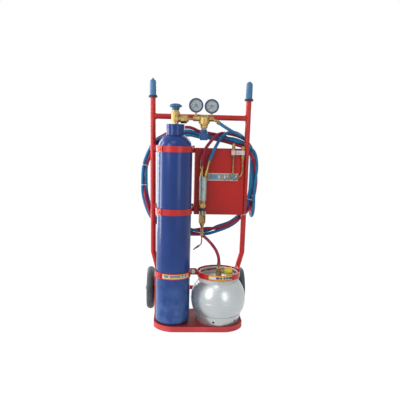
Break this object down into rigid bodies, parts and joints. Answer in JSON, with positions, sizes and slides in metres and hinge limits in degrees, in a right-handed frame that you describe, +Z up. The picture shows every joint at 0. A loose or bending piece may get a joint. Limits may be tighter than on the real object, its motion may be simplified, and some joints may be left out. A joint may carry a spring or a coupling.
{
  "type": "oxy acetylene torch cart",
  "caption": "Two-wheeled upright hand cart carrying an oxygen cylinder, a small gas cylinder, a regulator with gauges, a blowpipe, spare nozzles and a coil of twin hose.",
  "frame": {"origin": "on the floor, under the middle of the cart's box without its hoses", "axes": "+Z up, +X to the right as seen from the loading side, -Y towards the loading side with the cylinders, wheels at +Y"},
  "size_m": [0.5337, 0.439, 1.074],
  "materials": {
    "red_paint": "gloss",
    "blue_paint": "gloss",
    "silver_paint": "satin",
    "white_paint": "gloss",
    "brass": "machined",
    "copper": "satin",
    "zinc_steel": "zinc plated",
    "rim_grey": "satin",
    "tyre_rubber": "matte",
    "grip_vinyl": "satin",
    "knob_blue": "satin",
    "knob_yellow": "satin",
    "handle_grey": "anodised",
    "dial": "matte",
    "needle": "matte",
    "lens": "clear",
    "hose_blue": "satin",
    "hose_red": "satin"
  },
  "bodies": {
    "cart": {"base_tray": "red_paint", "upright_left": "red_paint", "upright_right": "red_paint", "top_crossbar": "red_paint", "strap_rails": "red_paint", "axle_carrier": "red_paint", "axle_rod": "zinc_steel", "axle_hardware": "zinc_steel", "hose_hooks": "red_paint", "grips": "grip_vinyl", "rail_straps": "red_paint", "lower_strap": "red_paint", "strap_arms": "red_paint", "gas_hoop": "red_paint", "fasteners": "zinc_steel", "toolbox": "red_paint", "oxygen_cylinder": "blue_paint", "neck_ring": "blue_paint", "cylinder_valve": "brass", "union_nut": "brass", "regulator_body": "brass", "regulator_bonnet": "brass", "gauge_cases": "knob_blue", "gauge_dials": "dial", "gauge_lenses": "lens", "outlet_fitting": "brass", "gas_cylinder": "silver_paint", "gas_foot_ring": "silver_paint", "gas_collar": "white_paint", "gas_valve": "brass", "torch_handle": "handle_grey", "torch_inlets": "brass", "torch_valve_block": "brass", "torch_union_nut": "brass", "torch_neck": "copper", "torch_tip": "zinc_steel", "torch_holder": "zinc_steel", "nozzle_rack": "white_paint", "spare_nozzles": "brass", "hose_clamps": "zinc_steel", "hose_coil": "hose_blue", "oxygen_lead": "hose_blue", "fuel_lead": "hose_red", "oxygen_torch_hose": "hose_blue", "fuel_torch_hose": "hose_red"},
    "left_wheel": {"tyre_left": "tyre_rubber", "rim_left": "rim_grey", "bush_left": "brass"},
    "right_wheel": {"tyre_right": "tyre_rubber", "rim_right": "rim_grey", "bush_right": "brass"},
    "cylinder_handwheel": {"valve_spindle": "zinc_steel", "valve_handwheel": "knob_blue"},
    "pressure_knob": {"adjusting_screw": "zinc_steel", "adjusting_knob": "knob_blue"},
    "left_needle": {"needle_left": "needle"},
    "right_needle": {"needle_right": "needle"},
    "gas_knob": {"gas_valve_knob": "knob_yellow"},
    "front_valve_knob": {"front_knob": "brass"},
    "mixing_ring": {"control_ring": "knob_blue"}
  },
  "joints": [
    {"name": "left_wheel_spin", "type": "hinge", "parent": "cart", "child": "left_wheel", "pos_m": [-0.2165, 0.1195, 0.1015], "axis": [1, 0, 0], "continuous": true},
    {"name": "right_wheel_spin", "type": "hinge", "parent": "cart", "child": "right_wheel", "pos_m": [0.2095, 0.1195, 0.1015], "axis": [1, 0, 0], "continuous": true},
    {"name": "cylinder_valve_turn", "type": "hinge", "parent": "cart", "child": "cylinder_handwheel", "pos_m": [-0.1115, -0.1155, 0.94], "axis": [0, 0, 1], "range_deg": [0, 720]},
    {"name": "pressure_knob_turn", "type": "hinge", "parent": "cart", "child": "pressure_knob", "pos_m": [0.0075, -0.1155, 0.84], "axis": [0, 0, 1], "range_deg": [0, 1440]},
    {"name": "left_needle_turn", "type": "hinge", "parent": "cart", "child": "left_needle", "pos_m": [-0.0275, -0.1225, 0.9525], "axis": [0, 1, 0], "range_deg": [0, 270], "stiffness_Nm_per_rad": 0.001},
    {"name": "right_needle_turn", "type": "hinge", "parent": "cart", "child": "right_needle", "pos_m": [0.0375, -0.1225, 0.95], "axis": [0, 1, 0], "range_deg": [0, 270], "stiffness_Nm_per_rad": 0.001},
    {"name": "gas_valve_turn", "type": "hinge", "parent": "cart", "child": "gas_knob", "pos_m": [0.115, -0.1005, 0.243], "axis": [1, 0, 0], "range_deg": [0, 720]},
    {"name": "front_knob_turn", "type": "hinge", "parent": "cart", "child": "front_valve_knob", "pos_m": [0.012, -0.0655, 0.5285], "axis": [0, -1, 0], "range_deg": [0, 720]},
    {"name": "mixing_ring_turn", "type": "hinge", "parent": "cart", "child": "mixing_ring", "pos_m": [0.012, -0.0555, 0.508], "axis": [0, 0, 1], "range_deg": [0, 360]}
  ]
}
